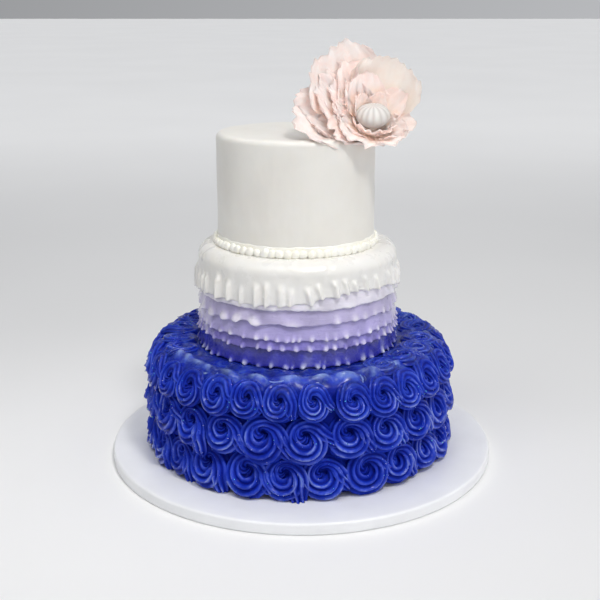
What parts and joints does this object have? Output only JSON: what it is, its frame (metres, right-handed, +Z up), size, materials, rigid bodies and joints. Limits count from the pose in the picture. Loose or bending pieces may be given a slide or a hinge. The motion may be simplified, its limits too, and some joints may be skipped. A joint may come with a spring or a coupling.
{
  "type": "tiered wedding cake",
  "caption": "Tiered cake on a round white board, with piped rosettes on the lowest tier, frilled strips and a pleated white sheet on the next, beads and a sugar flower on top.",
  "frame": {"origin": "centre of the board's underside", "axes": "+Z up, -Y towards the front, the side the sugar flower leans to"},
  "size_m": [0.4064, 0.4064, 0.4329],
  "materials": {
    "board_wrap": "white embossed foil paper, soft sheen",
    "blue_buttercream": "deep blue buttercream, moist gloss",
    "indigo_icing": "indigo icing, satin",
    "purple_icing": "purple icing, satin",
    "lavender_icing": "lavender icing, satin",
    "lilac_icing": "lilac icing, satin",
    "pale_lilac_icing": "pale lilac icing, satin",
    "white_fondant": "white fondant, soft satin sheen",
    "ivory_icing": "ivory royal icing, satin",
    "blush_sugar": "blush-tinted sugar paste, matt with a slight lustre",
    "pearl_sugar": "sugar paste with a pearl lustre"
  },
  "bodies": {
    "root": {"board": "board_wrap", "bottom_tier": "blue_buttercream", "middle_tier": "pale_lilac_icing", "strip_indigo": "indigo_icing", "strip_purple": "purple_icing", "strip_lavender": "lavender_icing", "strip_lilac": "lilac_icing", "strip_pale_lilac": "pale_lilac_icing", "white_sheet": "white_fondant", "top_tier": "white_fondant", "bead_border": "ivory_icing", "flower_foot": "blush_sugar", "flower_bud": "pearl_sugar", "petal_small_left": "blush_sugar", "petal_small_right": "blush_sugar", "petal_inner_back": "blush_sugar", "petal_inner_left": "blush_sugar", "petal_inner_right": "blush_sugar", "petal_left": "blush_sugar", "petal_back_right": "blush_sugar", "petal_front_right": "blush_sugar", "petal_back_left": "blush_sugar", "petal_right": "blush_sugar", "petal_front_left": "blush_sugar", "petal_far_left": "blush_sugar"}
  },
  "joints": []
}
